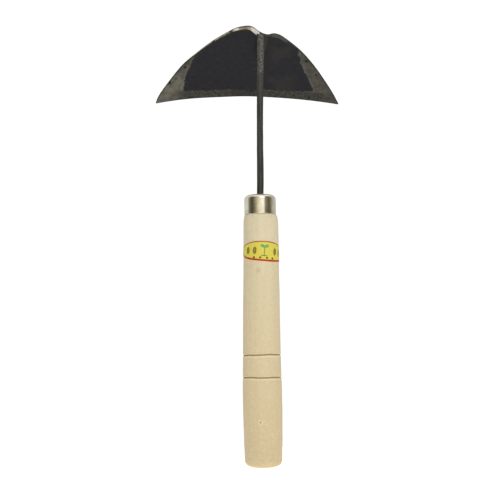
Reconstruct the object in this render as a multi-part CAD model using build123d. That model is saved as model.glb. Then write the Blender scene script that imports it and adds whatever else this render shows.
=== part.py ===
"""Short-handled half-moon draw hoe.

Row frame, millimetres: the origin is the centre of the flat butt of the
handle, +Z runs up the handle towards the blade, -Y is the side the shank
faces and +Y is the side the blade reaches out to.

Pieces: a turned wooden handle, a drawn steel ferrule on its nose, a forged
shank whose square tang is driven into the handle and whose upper end is bent
over and laid on the blade, the dished half-moon blade, the weld that joins
shank and blade, and a paper label round the handle.
"""
import math
import os

from build123d import *

os.makedirs("parts", exist_ok=True)

# ---------------------------------------------------------------- dimensions
# handle
SHOULDER_Z = 190.85       # shoulder the ferrule sits on
SPIGOT_TOP_Z = 204.7      # end of the reduced nose inside the ferrule
SPIGOT_R = 11.18
GRIP_R = 14.9             # largest, truly cylindrical stretch of the handle
GRIP_Z0, GRIP_Z1 = 44.0, 58.0
BUTT_FLAT_R = 5.5
GROOVE_Z = (67.2, 84.1)   # the two turned decoration grooves
GROOVE_HALF_W = 0.75
GROOVE_DEPTH = 0.75
LABEL_SEAT_Z0, LABEL_SEAT_Z1 = 146.0, 180.0   # straight cone under the label
LABEL_SEAT_R0, LABEL_SEAT_R1 = 13.62, 13.38
# ferrule
FERRULE_R = 12.1
FERRULE_WALL = 0.9
FERRULE_Z0, FERRULE_Z1 = 190.9, 206.3
FERRULE_EDGE_R = 3.6
FERRULE_HOLE_R = 3.0
# shank and tang
TANG_TIP_Z = 112.0
TANG_TIP_SIDE = 1.6
TANG_SIDE = 3.4
TANG_TOP_Z = 205.0
TANG_GAP = 0.04           # each face, between tang and wood
ROD_START_Z = 203.5
NECK_X = 2.05             # the shank leans this far sideways by the neck
NECK_R = 2.74
BEND_R = 5.5              # centreline radius of the neck bend
BEND_Z = 325.4            # where the bend starts
# (z, x of the centreline, radius) up the straight part of the shank
ROD = [
    (ROD_START_Z, 0.15, 2.60),
    (214.0, 0.42, 2.62),
    (228.0, 0.56, 2.65),
    (243.0, 0.60, 2.53),
    (258.0, 0.70, 2.49),
    (274.0, 0.95, 2.50),
    (290.0, 1.23, 2.52),
    (306.0, 1.60, 2.58),
    (316.0, 1.88, 2.66),
    (BEND_Z, NECK_X, NECK_R),
]
LEG_LEN = 23.0            # length of the flattened end laid on the blade
# blade
BLADE_ANGLE = 55.0        # between the blade's tangent plane and the handle axis
BLADE_O = (0.75, 12.4, 334.0)   # datum on the outer face
DISH_U0, DISH_W0 = -9.0, 20.0  # lowest point of the dish
DISH_RU, DISH_RW = 370.0, 330.0
EDGE_T, NECK_T, NECK_SPREAD = 1.25, 3.0, 28.0  # thickness law
NECK_UW = (-3.0, -6.0)
# outline in the blade's own plane: u across, w from the neck to the edge
SHOULDER_LINE = [
    (-84.0, 60.3), (-82.4, 56.0), (-80.6, 52.5), (-75.8, 45.3), (-70.6, 38.0),
    (-65.2, 30.6), (-59.2, 23.3), (-52.0, 16.5), (-42.3, 7.6), (-35.8, 2.2),
    (-29.4, -2.7), (-23.1, -7.1), (-16.8, -10.8), (-11.0, -12.3), (-7.2, -12.4),
    (-4.0, -10.8), (-1.0, -7.7), (2.0, -5.2), (5.0, -3.6), (8.0, -3.1),
    (10.2, -4.0), (12.4, -4.4), (14.6, -3.9), (17.6, -2.4), (21.0, 0.4), (27.1, 6.1),
    (33.5, 12.9), (40.1, 21.4), (46.7, 31.1), (53.4, 42.1), (60.3, 54.1),
    (64.9, 63.4),
]
EDGE_LINE = [
    (64.9, 63.4), (64.4, 64.0), (52.0, 63.4), (30.0, 62.5), (10.0, 61.7), (0.0, 61.2),
    (-11.0, 60.8), (-30.0, 60.7), (-60.0, 60.1), (-83.3, 60.6), (-84.0, 60.3),
]
# weld: (w, u centre, half width, height above the blade face)
WELD = [
    (-9.0, 3.4, 5.0, 2.2),
    (-4.0, 3.5, 5.2, 2.7),
    (0.6, 3.2, 4.9, 3.0),
    (4.2, 2.9, 4.4, 2.8),
    (9.0, 2.4, 3.9, 2.1),
    (15.0, 1.9, 3.4, 1.7),
    (21.0, 1.5, 2.9, 1.3),
    (25.5, 1.4, 1.6, 0.6),
]
# label
LABEL_HALF_LEN = 24.4
LABEL_HALF_H = 7.85
LABEL_Z = 162.2
LABEL_T = 0.15
LABEL_TURN = 14.0         # degrees round the handle from its front
LABEL_TILT = -3.9

TH = math.radians(BLADE_ANGLE)
D_DIR = Vector(0, math.sin(TH), -math.cos(TH))    # down the blade to the edge
N_DIR = Vector(0, -math.cos(TH), -math.sin(TH))   # off the hollow (inner) face
X_DIR = Vector(1, 0, 0)
O_PT = Vector(*BLADE_O)


def outer_h(u, w):
    return (u - DISH_U0) ** 2 / (2 * DISH_RU) + (w - DISH_W0) ** 2 / (2 * DISH_RW)


def thickness(u, w):
    r2 = (u - NECK_UW[0]) ** 2 + (w - NECK_UW[1]) ** 2
    return EDGE_T + NECK_T * math.exp(-r2 / (2 * NECK_SPREAD ** 2))


def inner_h(u, w):
    return outer_h(u, w) + thickness(u, w)


def blade_pt(u, w, h):
    return O_PT + X_DIR * u + D_DIR * w + N_DIR * h


def save(shape, name):
    shape.label = name
    export_step(shape, f"parts/{name}.step")
    print(name, round(shape.volume, 1))


# -------------------------------------------------------------------- handle
def handle_outline():
    g = GROOVE_HALF_W

    def radius_near(z):
        # radius of the long taper between the grip and the label seat
        pts = [(58.0, 14.9), (66.0, 14.68), (75.0, 14.50), (84.0, 14.39),
               (98.0, 14.24), (116.0, 14.08), (134.0, 13.90), (146.0, 13.62)]
        for (z0, r0), (z1, r1) in zip(pts, pts[1:]):
            if z0 <= z <= z1:
                return r0 + (r1 - r0) * (z - z0) / (z1 - z0)
        raise ValueError(z)

    with BuildLine() as ln:
        Line((0, 0), (BUTT_FLAT_R, 0))
        Spline((BUTT_FLAT_R, 0), (7.8, 0.22), (9.8, 0.72), (11.5, 1.32), (12.7, 2.1), (13.55, 3.2),
               (14.05, 4.5), (14.27, 6.2), (14.36, 8.5), tangents=[(1, 0), (0.03, 1)])
        Spline((14.36, 8.5), (14.54, 19.6), (14.72, 31.6), (GRIP_R, GRIP_Z0),
               tangents=[(0.03, 1), (0, 1)])
        Line((GRIP_R, GRIP_Z0), (GRIP_R, GRIP_Z1))
        last = (GRIP_R, GRIP_Z1)
        for gz in GROOVE_Z:
            a = (radius_near(gz - g), gz - g)
            b = (radius_near(gz) - GROOVE_DEPTH, gz)
            c = (radius_near(gz + g), gz + g)
            Polyline(last, a, b, c)
            last = c
        Spline(last, (14.24, 98.0), (14.08, 116.0), (13.90, 134.0), (LABEL_SEAT_R0, LABEL_SEAT_Z0))
        Line((LABEL_SEAT_R0, LABEL_SEAT_Z0), (LABEL_SEAT_R1, LABEL_SEAT_Z1))
        Spline((LABEL_SEAT_R1, LABEL_SEAT_Z1), (13.33, 184.5), (13.02, 188.3), (12.35, SHOULDER_Z),
               tangents=[(-0.007, 1), (-0.75, 0.65)])
        Polyline((12.35, SHOULDER_Z), (SPIGOT_R, SHOULDER_Z), (SPIGOT_R, SPIGOT_TOP_Z - 3.0))
        Line((SPIGOT_R, SPIGOT_TOP_Z - 3.0), (SPIGOT_R - 3.0, SPIGOT_TOP_Z))
        Line((SPIGOT_R - 3.0, SPIGOT_TOP_Z), (0, SPIGOT_TOP_Z))
        Line((0, SPIGOT_TOP_Z), (0, 0))
    return ln.line


with BuildPart() as handle_b:
    with BuildSketch(Plane.XZ) as _sk:
        add(handle_outline())
        make_face()
    revolve(axis=Axis.Z)
handle = handle_b.part


def square_taper(z0, side0, z1, side1):
    a = Plane.XY.offset(z0) * Rectangle(side0, side0)
    b = Plane.XY.offset(z1) * Rectangle(side1, side1)
    return loft([a.face(), b.face()])


pilot = square_taper(TANG_TIP_Z - 3.0, TANG_TIP_SIDE, TANG_TIP_Z, TANG_TIP_SIDE + 2 * TANG_GAP)
bore = square_taper(TANG_TIP_Z - 0.02, TANG_TIP_SIDE + 2 * TANG_GAP, TANG_TOP_Z + 0.4, TANG_SIDE + 2 * TANG_GAP)
mouth = Pos(0, 0, 203.0) * Cylinder(2.85, 4.0, align=(Align.CENTER, Align.CENTER, Align.MIN))
handle = handle - pilot - bore - mouth
save(handle, "handle")

# ------------------------------------------------------------------- ferrule
ri = FERRULE_R - FERRULE_WALL
e = FERRULE_EDGE_R
ei = e - FERRULE_WALL
zt = FERRULE_Z1
with BuildPart() as ferrule_b:
    with BuildSketch(Plane.XZ) as _sk:
        with BuildLine():
            Line((ri, FERRULE_Z0 + 0.3), (ri + 0.3, FERRULE_Z0))
            Line((ri + 0.3, FERRULE_Z0), (FERRULE_R - 0.3, FERRULE_Z0))
            Line((FERRULE_R - 0.3, FERRULE_Z0), (FERRULE_R, FERRULE_Z0 + 0.3))
            Line((FERRULE_R, FERRULE_Z0 + 0.3), (FERRULE_R, zt - e))
            RadiusArc((FERRULE_R, zt - e), (FERRULE_R - e, zt), -e)
            Line((FERRULE_R - e, zt), (FERRULE_HOLE_R + 0.25, zt))
            Line((FERRULE_HOLE_R + 0.25, zt), (FERRULE_HOLE_R, zt - 0.25))
            Line((FERRULE_HOLE_R, zt - 0.25), (FERRULE_HOLE_R, zt - FERRULE_WALL))
            Line((FERRULE_HOLE_R, zt - FERRULE_WALL), (ri - ei, zt - FERRULE_WALL))
            RadiusArc((ri - ei, zt - FERRULE_WALL), (ri, zt - FERRULE_WALL - ei), ei)
            Line((ri, zt - FERRULE_WALL - ei), (ri, FERRULE_Z0 + 0.3))
        make_face()
    revolve(axis=Axis.Z)
ferrule = ferrule_b.part
save(ferrule, "ferrule")

# --------------------------------------------------------------------- blade
outline = make_face(
    Spline(*[Vector(u, w) for u, w in SHOULDER_LINE]).edges()
    + Polyline(*[Vector(u, w) for u, w in EDGE_LINE[:2]]).edges()
    + Spline(*[Vector(u, w) for u, w in EDGE_LINE[1:-1]]).edges()
    + Polyline(*[Vector(u, w) for u, w in EDGE_LINE[-2:]]).edges()
)
# the outline's sketch plane: x along u, y along w, so its normal is the outward side
blade_plane = Plane(origin=O_PT, x_dir=X_DIR, z_dir=X_DIR.cross(D_DIR))
blade_face = (blade_plane * outline).faces()[0]
n_sign = 1 if blade_plane.z_dir.dot(N_DIR) > 0 else -1
prism = extrude(blade_face.moved(Location(N_DIR * -12)), amount=40, dir=N_DIR)


def sheet(fn):
    us = [-98 + 6.0 * i for i in range(31)]
    ws = [-28 + 6.0 * i for i in range(19)]
    return Face.make_surface_from_array_of_points(
        [[blade_pt(u, w, fn(u, w)) for u in us] for w in ws], tol=0.005, min_deg=3, max_deg=5
    )


outer_sheet = sheet(outer_h)
inner_sheet = sheet(inner_h)
below_outer = Solid.extrude(outer_sheet, N_DIR * 34)
below_inner = Solid.extrude(inner_sheet, N_DIR * 34)
blade = (prism & below_outer) - below_inner
blade = blade.solids()[0] if len(blade.solids()) == 1 else Compound(blade.solids())
print("blade solids", len(blade.solids()), "valid", blade.is_valid)

# --------------------------------------------------------------------- shank
sections = []
for i, (z, x, r) in enumerate(ROD):
    sections.append(Plane(origin=(x, 0, z), z_dir=(0, 0, 1)) * Circle(r))
rod = loft([s.face() for s in sections])
bend_face = (Plane(origin=(NECK_X, 0, BEND_Z), z_dir=(0, 0, 1)) * Circle(NECK_R)).face()
bend_axis = Axis((NECK_X, BEND_R, BEND_Z), (-1, 0, 0))
bend = Solid.revolve(bend_face, 180 - BLADE_ANGLE, bend_axis)
turn = math.radians(180 - BLADE_ANGLE)
leg_start = Vector(NECK_X, BEND_R - BEND_R * math.cos(turn), BEND_Z + BEND_R * math.sin(turn))


def leg_section(s, half_w, half_t, sink):
    c = leg_start + D_DIR * s - N_DIR * sink
    pl = Plane(origin=c, x_dir=X_DIR, z_dir=D_DIR)
    return (pl * Ellipse(half_w, half_t)).face()


leg = loft([
    leg_section(0.0, NECK_R, NECK_R, 0.0),
    leg_section(5.0, 2.95, 2.4, -0.35),
    leg_section(11.0, 3.05, 2.05, -0.55),
    leg_section(17.0, 2.8, 1.6, -0.45),
    leg_section(LEG_LEN, 2.0, 0.95, -0.1),
])
tang = square_taper(TANG_TIP_Z, TANG_TIP_SIDE, TANG_TOP_Z, TANG_SIDE)
shank = (rod + bend + leg + tang) - blade
shank = max(shank.solids(), key=lambda s: s.volume)
print("shank valid", shank.is_valid, len(shank.solids()))

# ---------------------------------------------------------------------- weld
welds = []
for w, uc, hw, hh in WELD:
    hb = inner_h(uc, w)
    pl = Plane(origin=blade_pt(uc, w, hb - 0.9), x_dir=X_DIR, z_dir=D_DIR)
    welds.append((pl * Ellipse(hw, hh + 0.9)).face())
mound = loft(welds)
weld = mound - blade - shank
# keep only what lies on the hollow side of the blade, inside its outline
weld = weld & below_inner & prism
weld_solids = [s for s in weld.solids() if s.volume > 1.0]
print("weld solids", [round(s.volume, 1) for s in weld_solids])
save(blade, "blade")
save(shank, "shank")
save(Compound(weld_solids) if len(weld_solids) > 1 else weld_solids[0], "neck_weld")

# --------------------------------------------------------------------- label
slope = (LABEL_SEAT_R1 - LABEL_SEAT_R0) / (LABEL_SEAT_Z1 - LABEL_SEAT_Z0)
LABEL_GAP = 0.015


def seat_r(z):
    return LABEL_SEAT_R0 + slope * (z - LABEL_SEAT_Z0)


ring = Solid.revolve(
    make_face(Polyline(
        (seat_r(LABEL_SEAT_Z0) + LABEL_GAP, 0, LABEL_SEAT_Z0),
        (seat_r(LABEL_SEAT_Z0) + LABEL_GAP + LABEL_T, 0, LABEL_SEAT_Z0),
        (seat_r(LABEL_SEAT_Z1) + LABEL_GAP + LABEL_T, 0, LABEL_SEAT_Z1),
        (seat_r(LABEL_SEAT_Z1) + LABEL_GAP, 0, LABEL_SEAT_Z1), close=True)).face(),
    360, Axis.Z).rotate(Axis.Z, 90 + LABEL_TURN)


def label_pt(a, scale):
    # a point of the oval outline rolled round the handle, moved off it by scale
    tilt = math.radians(LABEL_TILT)
    s0, t0 = LABEL_HALF_LEN * math.cos(a), LABEL_HALF_H * math.sin(a)
    s1 = s0 * math.cos(tilt) - t0 * math.sin(tilt)
    z = LABEL_Z + s0 * math.sin(tilt) + t0 * math.cos(tilt)
    ang = math.radians(-90 + LABEL_TURN) + s1 / seat_r(LABEL_Z)
    r = seat_r(z) * scale
    return Vector(r * math.cos(ang), r * math.sin(ang), z)


def label_arc(k, parts, scale):
    a0 = 2 * math.pi * k / parts
    da = 2 * math.pi / parts
    eps = 1e-4
    n = 8
    pts = [label_pt(a0 + da * i / n, scale) for i in range(n + 1)]
    t0 = label_pt(a0 + eps, scale) - label_pt(a0 - eps, scale)
    t1 = label_pt(a0 + da + eps, scale) - label_pt(a0 + da - eps, scale)
    return Edge.make_spline(pts, tangents=[t0.normalized(), t1.normalized()])


LABEL_ARCS = 8
knife = Shell([
    Face.make_surface_from_curves(label_arc(k, LABEL_ARCS, 0.9), label_arc(k, LABEL_ARCS, 1.1))
    for k in range(LABEL_ARCS)
])
cut = ring.split(knife, keep=Keep.ALL)
pieces = cut.solids() if hasattr(cut, "solids") else [x for c in cut for x in c.solids()]
want = math.pi * LABEL_HALF_LEN * LABEL_HALF_H * LABEL_T
label_piece = min(pieces, key=lambda p: abs(p.volume - want))
print("label valid", label_piece.is_valid, [round(p.volume, 2) for p in pieces], round(want, 2))
save(label_piece, "label")
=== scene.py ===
import math

import bpy
import numpy as np
from mathutils import Matrix, Vector


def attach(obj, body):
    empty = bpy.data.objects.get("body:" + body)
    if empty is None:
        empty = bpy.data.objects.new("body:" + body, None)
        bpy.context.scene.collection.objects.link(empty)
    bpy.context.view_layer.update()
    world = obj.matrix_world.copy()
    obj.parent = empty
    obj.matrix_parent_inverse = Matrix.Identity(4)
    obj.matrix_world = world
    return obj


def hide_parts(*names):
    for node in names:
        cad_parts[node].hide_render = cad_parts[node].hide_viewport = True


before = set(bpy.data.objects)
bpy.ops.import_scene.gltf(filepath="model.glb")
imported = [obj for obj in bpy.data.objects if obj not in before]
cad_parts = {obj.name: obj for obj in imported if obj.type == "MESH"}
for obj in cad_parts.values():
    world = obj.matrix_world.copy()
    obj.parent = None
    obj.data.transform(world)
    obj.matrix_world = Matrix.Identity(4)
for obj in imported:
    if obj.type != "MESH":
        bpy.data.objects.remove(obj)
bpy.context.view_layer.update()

MM = 0.001


# ------------------------------------------------------------------ helpers
def _hash(ix, iy, iz, seed):
    h = (ix * 374761393 + iy * 668265263 + iz * 2147483647 + seed * 1274126177) & 0xFFFFFFFF
    h = ((h ^ (h >> 13)) * 1274126177) & 0xFFFFFFFF
    h = (h ^ (h >> 16)) & 0xFFFFFFFF
    return h.astype(np.float64) / 4294967295.0


def vnoise(x, y, z=0.0, seed=0):
    """Smooth value noise, 0..1, on arrays."""
    x, y, z = np.broadcast_arrays(np.asarray(x, float), np.asarray(y, float), np.asarray(z, float))
    ix, iy, iz = np.floor(x).astype(np.int64), np.floor(y).astype(np.int64), np.floor(z).astype(np.int64)
    fx, fy, fz = x - ix, y - iy, z - iz
    fx, fy, fz = [f * f * f * (f * (f * 6 - 15) + 10) for f in (fx, fy, fz)]
    out = 0
    for dx in (0, 1):
        for dy in (0, 1):
            for dz in (0, 1):
                wgt = (fx if dx else 1 - fx) * (fy if dy else 1 - fy) * (fz if dz else 1 - fz)
                out = out + wgt * _hash(ix + dx, iy + dy, iz + dz, seed)
    return out


def fnoise(x, y, z=0.0, seed=0, octaves=3):
    s, a, tot = 0, 1.0, 0.0
    for k in range(octaves):
        s = s + a * vnoise(x * 2 ** k, y * 2 ** k, z * 2 ** k, seed + 17 * k)
        tot += a
        a *= 0.5
    return s / tot


def smooth(a, b, x):
    t = np.clip((np.asarray(x, float) - a) / (b - a), 0, 1)
    return t * t * (3 - 2 * t)


def spline2(pts, per_mm=4.0):
    """Natural cubic through points by chord length, sampled densely."""
    p = np.array(pts, float)
    t = np.concatenate([[0], np.cumsum(np.hypot(*np.diff(p, axis=0).T))])
    n = len(p)
    h = np.diff(t)
    A = np.zeros((n, n))
    B = np.zeros((n, p.shape[1]))
    A[0, 0] = A[-1, -1] = 1
    for i in range(1, n - 1):
        A[i, i - 1], A[i, i], A[i, i + 1] = h[i - 1], 2 * (h[i - 1] + h[i]), h[i]
        B[i] = 6 * ((p[i + 1] - p[i]) / h[i] - (p[i] - p[i - 1]) / h[i - 1])
    M = np.linalg.solve(A, B)
    ts = np.linspace(0, t[-1], int(t[-1] * per_mm) + 2)
    k = np.clip(np.searchsorted(t, ts, side="right") - 1, 0, n - 2)
    a = ((t[k + 1] - ts) / h[k])[:, None]
    b = ((ts - t[k]) / h[k])[:, None]
    hk = h[k][:, None]
    return a * p[k] + b * p[k + 1] + ((a ** 3 - a) * M[k] + (b ** 3 - b) * M[k + 1]) * hk ** 2 / 6


def build(name, verts_mm, faces, sharp_deg=38.0, attrs=None, colors=None, body="root"):
    me = bpy.data.meshes.new(name)
    me.from_pydata((np.asarray(verts_mm, float) * MM).tolist(), [], [list(map(int, f)) for f in faces])
    me.validate()
    me.polygons.foreach_set("use_smooth", [True] * len(me.polygons))
    me.set_sharp_from_angle(angle=math.radians(sharp_deg))
    for key, val in (attrs or {}).items():
        at = me.attributes.new(key, "FLOAT", "POINT")
        at.data.foreach_set("value", np.asarray(val, np.float32).ravel())
    for key, val in (colors or {}).items():
        at = me.attributes.new(key, "FLOAT_COLOR", "POINT")
        rgba = np.ones((len(val), 4), np.float32)
        rgba[:, :3] = val
        at.data.foreach_set("color", rgba.ravel())
    me.update()
    ob = bpy.data.objects.new(name, me)
    bpy.context.scene.collection.objects.link(ob)
    return ob


def grid_faces(nu, nv, base=0, close_u=False, flip=False):
    """Faces of a grid whose vertex (i, j) is base + i * nv + j."""
    out = []
    for i in range(nu if close_u else nu - 1):
        i2 = (i + 1) % nu
        for j in range(nv - 1):
            f = (base + i * nv + j, base + i2 * nv + j, base + i2 * nv + j + 1, base + i * nv + j + 1)
            out.append(f[::-1] if flip else f)
    return out


def lin(c):
    """sRGB 0..255 to linear, for shader sockets."""
    out = []
    for v in c:
        v = v / 255.0
        out.append(v / 12.92 if v <= 0.04045 else ((v + 0.055) / 1.055) ** 2.4)
    return tuple(out)


# ---------------------------------------------------------- material helper
class Mat:
    """Small wrapper that keeps node building readable."""

    def __init__(self, name):
        self.m = bpy.data.materials.new(name)
        self.m.use_nodes = True
        self.nt = self.m.node_tree
        self.nt.nodes.clear()
        self.out = self.nt.nodes.new("ShaderNodeOutputMaterial")
        self.bsdf = self.nt.nodes.new("ShaderNodeBsdfPrincipled")
        self.nt.links.new(self.bsdf.outputs[0], self.out.inputs[0])

    def n(self, kind, **kw):
        nd = self.nt.nodes.new(kind)
        for k, v in kw.items():
            setattr(nd, k, v)
        return nd

    def link(self, a, b):
        self.nt.links.new(a, b)

    def put(self, sock, v):
        if isinstance(v, bpy.types.NodeSocket):
            self.link(v, sock)
        elif v is not None:
            if hasattr(sock.default_value, "__len__") and not hasattr(v, "__len__"):
                v = (v,) * len(sock.default_value)
            if hasattr(v, "__len__") and hasattr(sock.default_value, "__len__") and len(v) == 3 and len(sock.default_value) == 4:
                v = (*v, 1.0)
            sock.default_value = v

    def obj(self):
        return self.n("ShaderNodeTexCoord").outputs["Object"]

    def xyz(self, vec):
        s = self.n("ShaderNodeSeparateXYZ")
        self.link(vec, s.inputs[0])
        return s.outputs[0], s.outputs[1], s.outputs[2]

    def comb(self, x, y, z):
        c = self.n("ShaderNodeCombineXYZ")
        for s, v in zip(c.inputs, (x, y, z)):
            self.put(s, v)
        return c.outputs[0]

    def mapping(self, vec, scale=(1, 1, 1), loc=(0, 0, 0), rot=(0, 0, 0)):
        mp = self.n("ShaderNodeMapping")
        self.link(vec, mp.inputs["Vector"])
        mp.inputs["Scale"].default_value = scale
        mp.inputs["Location"].default_value = loc
        mp.inputs["Rotation"].default_value = rot
        return mp.outputs[0]

    def noise(self, vec, scale, detail=3.0, rough=0.55, dist=0.0):
        t = self.n("ShaderNodeTexNoise")
        self.link(vec, t.inputs["Vector"])
        t.inputs["Scale"].default_value = scale
        t.inputs["Detail"].default_value = detail
        t.inputs["Roughness"].default_value = rough
        t.inputs["Distortion"].default_value = dist
        return t.outputs["Fac"]

    def voronoi(self, vec, scale, feature="F1", rand=1.0):
        t = self.n("ShaderNodeTexVoronoi", feature=feature)
        self.link(vec, t.inputs["Vector"])
        t.inputs["Scale"].default_value = scale
        t.inputs["Randomness"].default_value = rand
        return t.outputs["Distance"]

    def ramp(self, fac, stops, interp="LINEAR"):
        r = self.n("ShaderNodeValToRGB")
        self.link(fac, r.inputs[0])
        cr = r.color_ramp
        cr.interpolation = interp
        while len(cr.elements) < len(stops):
            cr.elements.new(0.5)
        for e, (p, c) in zip(cr.elements, stops):
            e.position = p
            e.color = (*c, 1.0) if hasattr(c, "__len__") else (c, c, c, 1.0)
        return r.outputs[0]

    def band(self, fac, a, b, c=0.0, d=1.0):
        """Map Range, smoothstep, from a..b to c..d."""
        r = self.n("ShaderNodeMapRange", interpolation_type="SMOOTHSTEP")
        self.put(r.inputs["Value"], fac)
        r.inputs["From Min"].default_value = a
        r.inputs["From Max"].default_value = b
        r.inputs["To Min"].default_value = c
        r.inputs["To Max"].default_value = d
        return r.outputs[0]

    def math(self, op, a, b=None, c=None):
        t = self.n("ShaderNodeMath", operation=op)
        self.put(t.inputs[0], a)
        if b is not None:
            self.put(t.inputs[1], b)
        if c is not None:
            self.put(t.inputs[2], c)
        return t.outputs[0]

    def mix(self, fac, a, b, mode="MIX"):
        t = self.n("ShaderNodeMix", data_type="RGBA", blend_type=mode)
        t.clamp_factor = True
        self.put(t.inputs[0], fac)
        self.put(t.inputs[6], a)
        self.put(t.inputs[7], b)
        return t.outputs[2]

    def attr(self, name):
        return self.n("ShaderNodeAttribute", attribute_name=name)

    def bump(self, height, strength, dist, normal=None):
        b = self.n("ShaderNodeBump")
        b.inputs["Strength"].default_value = strength
        b.inputs["Distance"].default_value = dist
        self.link(height, b.inputs["Height"])
        if normal is not None:
            self.link(normal, b.inputs["Normal"])
        return b.outputs[0]

    def set(self, **kw):
        for k, v in kw.items():
            self.put(self.bsdf.inputs[k.replace("_", " ")], v)


# ------------------------------------------------------------ camera first
S_PX, F_PX = 0.764, 1332.0
EPS, ROLL = math.radians(5.5), math.radians(0.72)
fwd = Vector((0, math.cos(EPS), math.sin(EPS)))
up0 = Vector((0, -math.sin(EPS), math.cos(EPS)))
right0 = Vector((1, 0, 0))
up = up0 * math.cos(ROLL) + right0 * math.sin(ROLL)
right = right0 * math.cos(ROLL) - up0 * math.sin(ROLL)
look = Vector((-15.1 * S_PX + 0.75, 0, 167.0))
cam_at = look - fwd * (F_PX * S_PX)
cam_data = bpy.data.cameras.new("camera")
cam_data.sensor_width = 36.0
cam_data.lens = 36.0 * F_PX / 492.0
cam_data.shift_x = -0.5 / 492.0
cam_data.shift_y = 0.5 / 492.0
cam_data.dof.use_dof = False
cam_data.clip_start, cam_data.clip_end = 0.01, 50.0
cam = bpy.data.objects.new("camera", cam_data)
rot = Matrix((
    (right.x, up.x, -fwd.x),
    (right.y, up.y, -fwd.y),
    (right.z, up.z, -fwd.z),
))
cam.matrix_world = Matrix.Translation(cam_at * MM) @ rot.to_4x4()
bpy.context.scene.collection.objects.link(cam)
bpy.context.scene.camera = cam

# -------------------------------------------------------------------- blade
TH = math.radians(55.0)
XD = np.array([1.0, 0, 0])
DD = np.array([0, math.sin(TH), -math.cos(TH)])
ND = np.array([0, -math.cos(TH), -math.sin(TH)])
ORG = np.array([0.75, 12.4, 334.0])


def outer_h(u, w):
    return (u + 9.0) ** 2 / 740.0 + (w - 20.0) ** 2 / 660.0


def thick(u, w):
    return 1.25 + 3.0 * np.exp(-((u + 3.0) ** 2 + (w + 6.0) ** 2) / (2 * 28.0 ** 2))


def inner_h(u, w):
    return outer_h(u, w) + thick(u, w)


def blade_xyz(u, w, h):
    u, w, h = [np.asarray(a, float)[..., None] for a in (u, w, h)]
    return ORG + u * XD + w * DD + h * ND


def to_uwh(p):
    q = p - ORG
    return q @ XD, q @ DD, q @ ND


SHOULDER = [
    (-84.0, 60.3), (-82.4, 56.0), (-80.6, 52.5), (-75.8, 45.3), (-70.6, 38.0),
    (-65.2, 30.6), (-59.2, 23.3), (-52.0, 16.5), (-42.3, 7.6), (-35.8, 2.2),
    (-29.4, -2.7), (-23.1, -7.1), (-16.8, -10.8), (-11.0, -12.3), (-7.2, -12.4),
    (-4.0, -10.8), (-1.0, -7.7), (2.0, -5.2), (5.0, -3.6), (8.0, -3.1),
    (10.2, -4.0), (12.4, -4.4), (14.6, -3.9), (17.6, -2.4), (21.0, 0.4), (27.1, 6.1),
    (33.5, 12.9), (40.1, 21.4), (46.7, 31.1), (53.4, 42.1), (60.3, 54.1),
    (64.9, 63.4),
]
EDGE = [(-83.3, 60.6), (-60.0, 60.1), (-30.0, 60.7), (-11.0, 60.8), (0.0, 61.2), (10.0, 61.7), (30.0, 62.5), (52.0, 63.4), (64.4, 64.0)]
SCALE_LINE = [
    (-49.6, 13.0), (-50.2, 16.2), (-52.6, 20.5), (-54.4, 25.8), (-57.9, 33.8), (-59.6, 40.5), (-60.4, 46.0), (-61.6, 51.8),
    (-55.0, 52.3), (-47.3, 52.7), (-36.0, 53.6), (-27.0, 53.2), (-19.0, 54.2), (-12.4, 54.4), (-6.0, 55.8), (3.1, 53.7), (14.0, 54.6),
    (25.9, 54.8), (36.0, 54.3), (43.9, 53.2), (43.4, 49.8), (41.6, 46.2), (38.6, 37.6), (36.3, 33.5), (35.4, 29.6),
    (32.9, 24.8), (33.2, 19.8), (31.2, 16.0), (31.9, 11.8),
]
top_line = spline2(SHOULDER, 6.0)
bot_line = np.concatenate([[SHOULDER[0]], spline2(EDGE, 3.0), [SHOULDER[-1]]])


def w_top(u):
    return np.interp(u, top_line[:, 0], top_line[:, 1])


def w_bot(u):
    return np.interp(u, bot_line[:, 0], bot_line[:, 1])


def seg_dist(px, py, line):
    """Distance from points to an open polyline."""
    best = np.full(px.shape, 1e9)
    for (x0, y0), (x1, y1) in zip(line[:-1], line[1:]):
        dx, dy = x1 - x0, y1 - y0
        t = np.clip(((px - x0) * dx + (py - y0) * dy) / (dx * dx + dy * dy + 1e-12), 0, 1)
        best = np.minimum(best, np.hypot(px - x0 - t * dx, py - y0 - t * dy))
    return best


def inside(px, py, poly):
    c = np.zeros(px.shape, bool)
    n = len(poly)
    for k in range(n):
        x0, y0 = poly[k]
        x1, y1 = poly[(k + 1) % n]
        cross = ((y0 > py) != (y1 > py)) & (px < (x1 - x0) * (py - y0) / (y1 - y0 + 1e-12) + x0)
        c ^= cross
    return c


# columns evenly spaced along the shoulder line
arc = np.concatenate([[0], np.cumsum(np.hypot(*np.diff(top_line, axis=0).T))])
NC = 280
us = np.interp(np.linspace(0.12, arc[-1] - 0.12, NC), arc, top_line[:, 0])
core = np.linspace(0.012, 0.988, 92)
vs = np.concatenate([[0, 0.0035, 0.007], core, [0.993, 0.9965, 1.0]])
NR = len(vs)
U = np.repeat(us[:, None], NR, 1)
WT, WB = w_top(us)[:, None], w_bot(us)[:, None]
W = WT + (WB - WT) * vs[None, :]
d_top = seg_dist(U, W, top_line[::4])
d_bot = seg_dist(U, W, bot_line[::3])
d_edge = np.minimum(d_top, d_bot)
poly = SCALE_LINE + [(31.9, 5.0), (20.0, -30.0), (-40.0, -30.0), (-49.6, 5.0)]
g_in = inside(U, W, poly)
gd = seg_dist(U, W, SCALE_LINE) * np.where(g_in, -1, 1)      # >0 on the bare ground steel
ground = smooth(-0.6, 0.6, gd)
hammer = fnoise(U / 11.0, W / 11.0, 0.0, 3, 2)
hammer_o = fnoise(U / 13.0 + 40, W / 13.0, 0.0, 9, 2)
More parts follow.
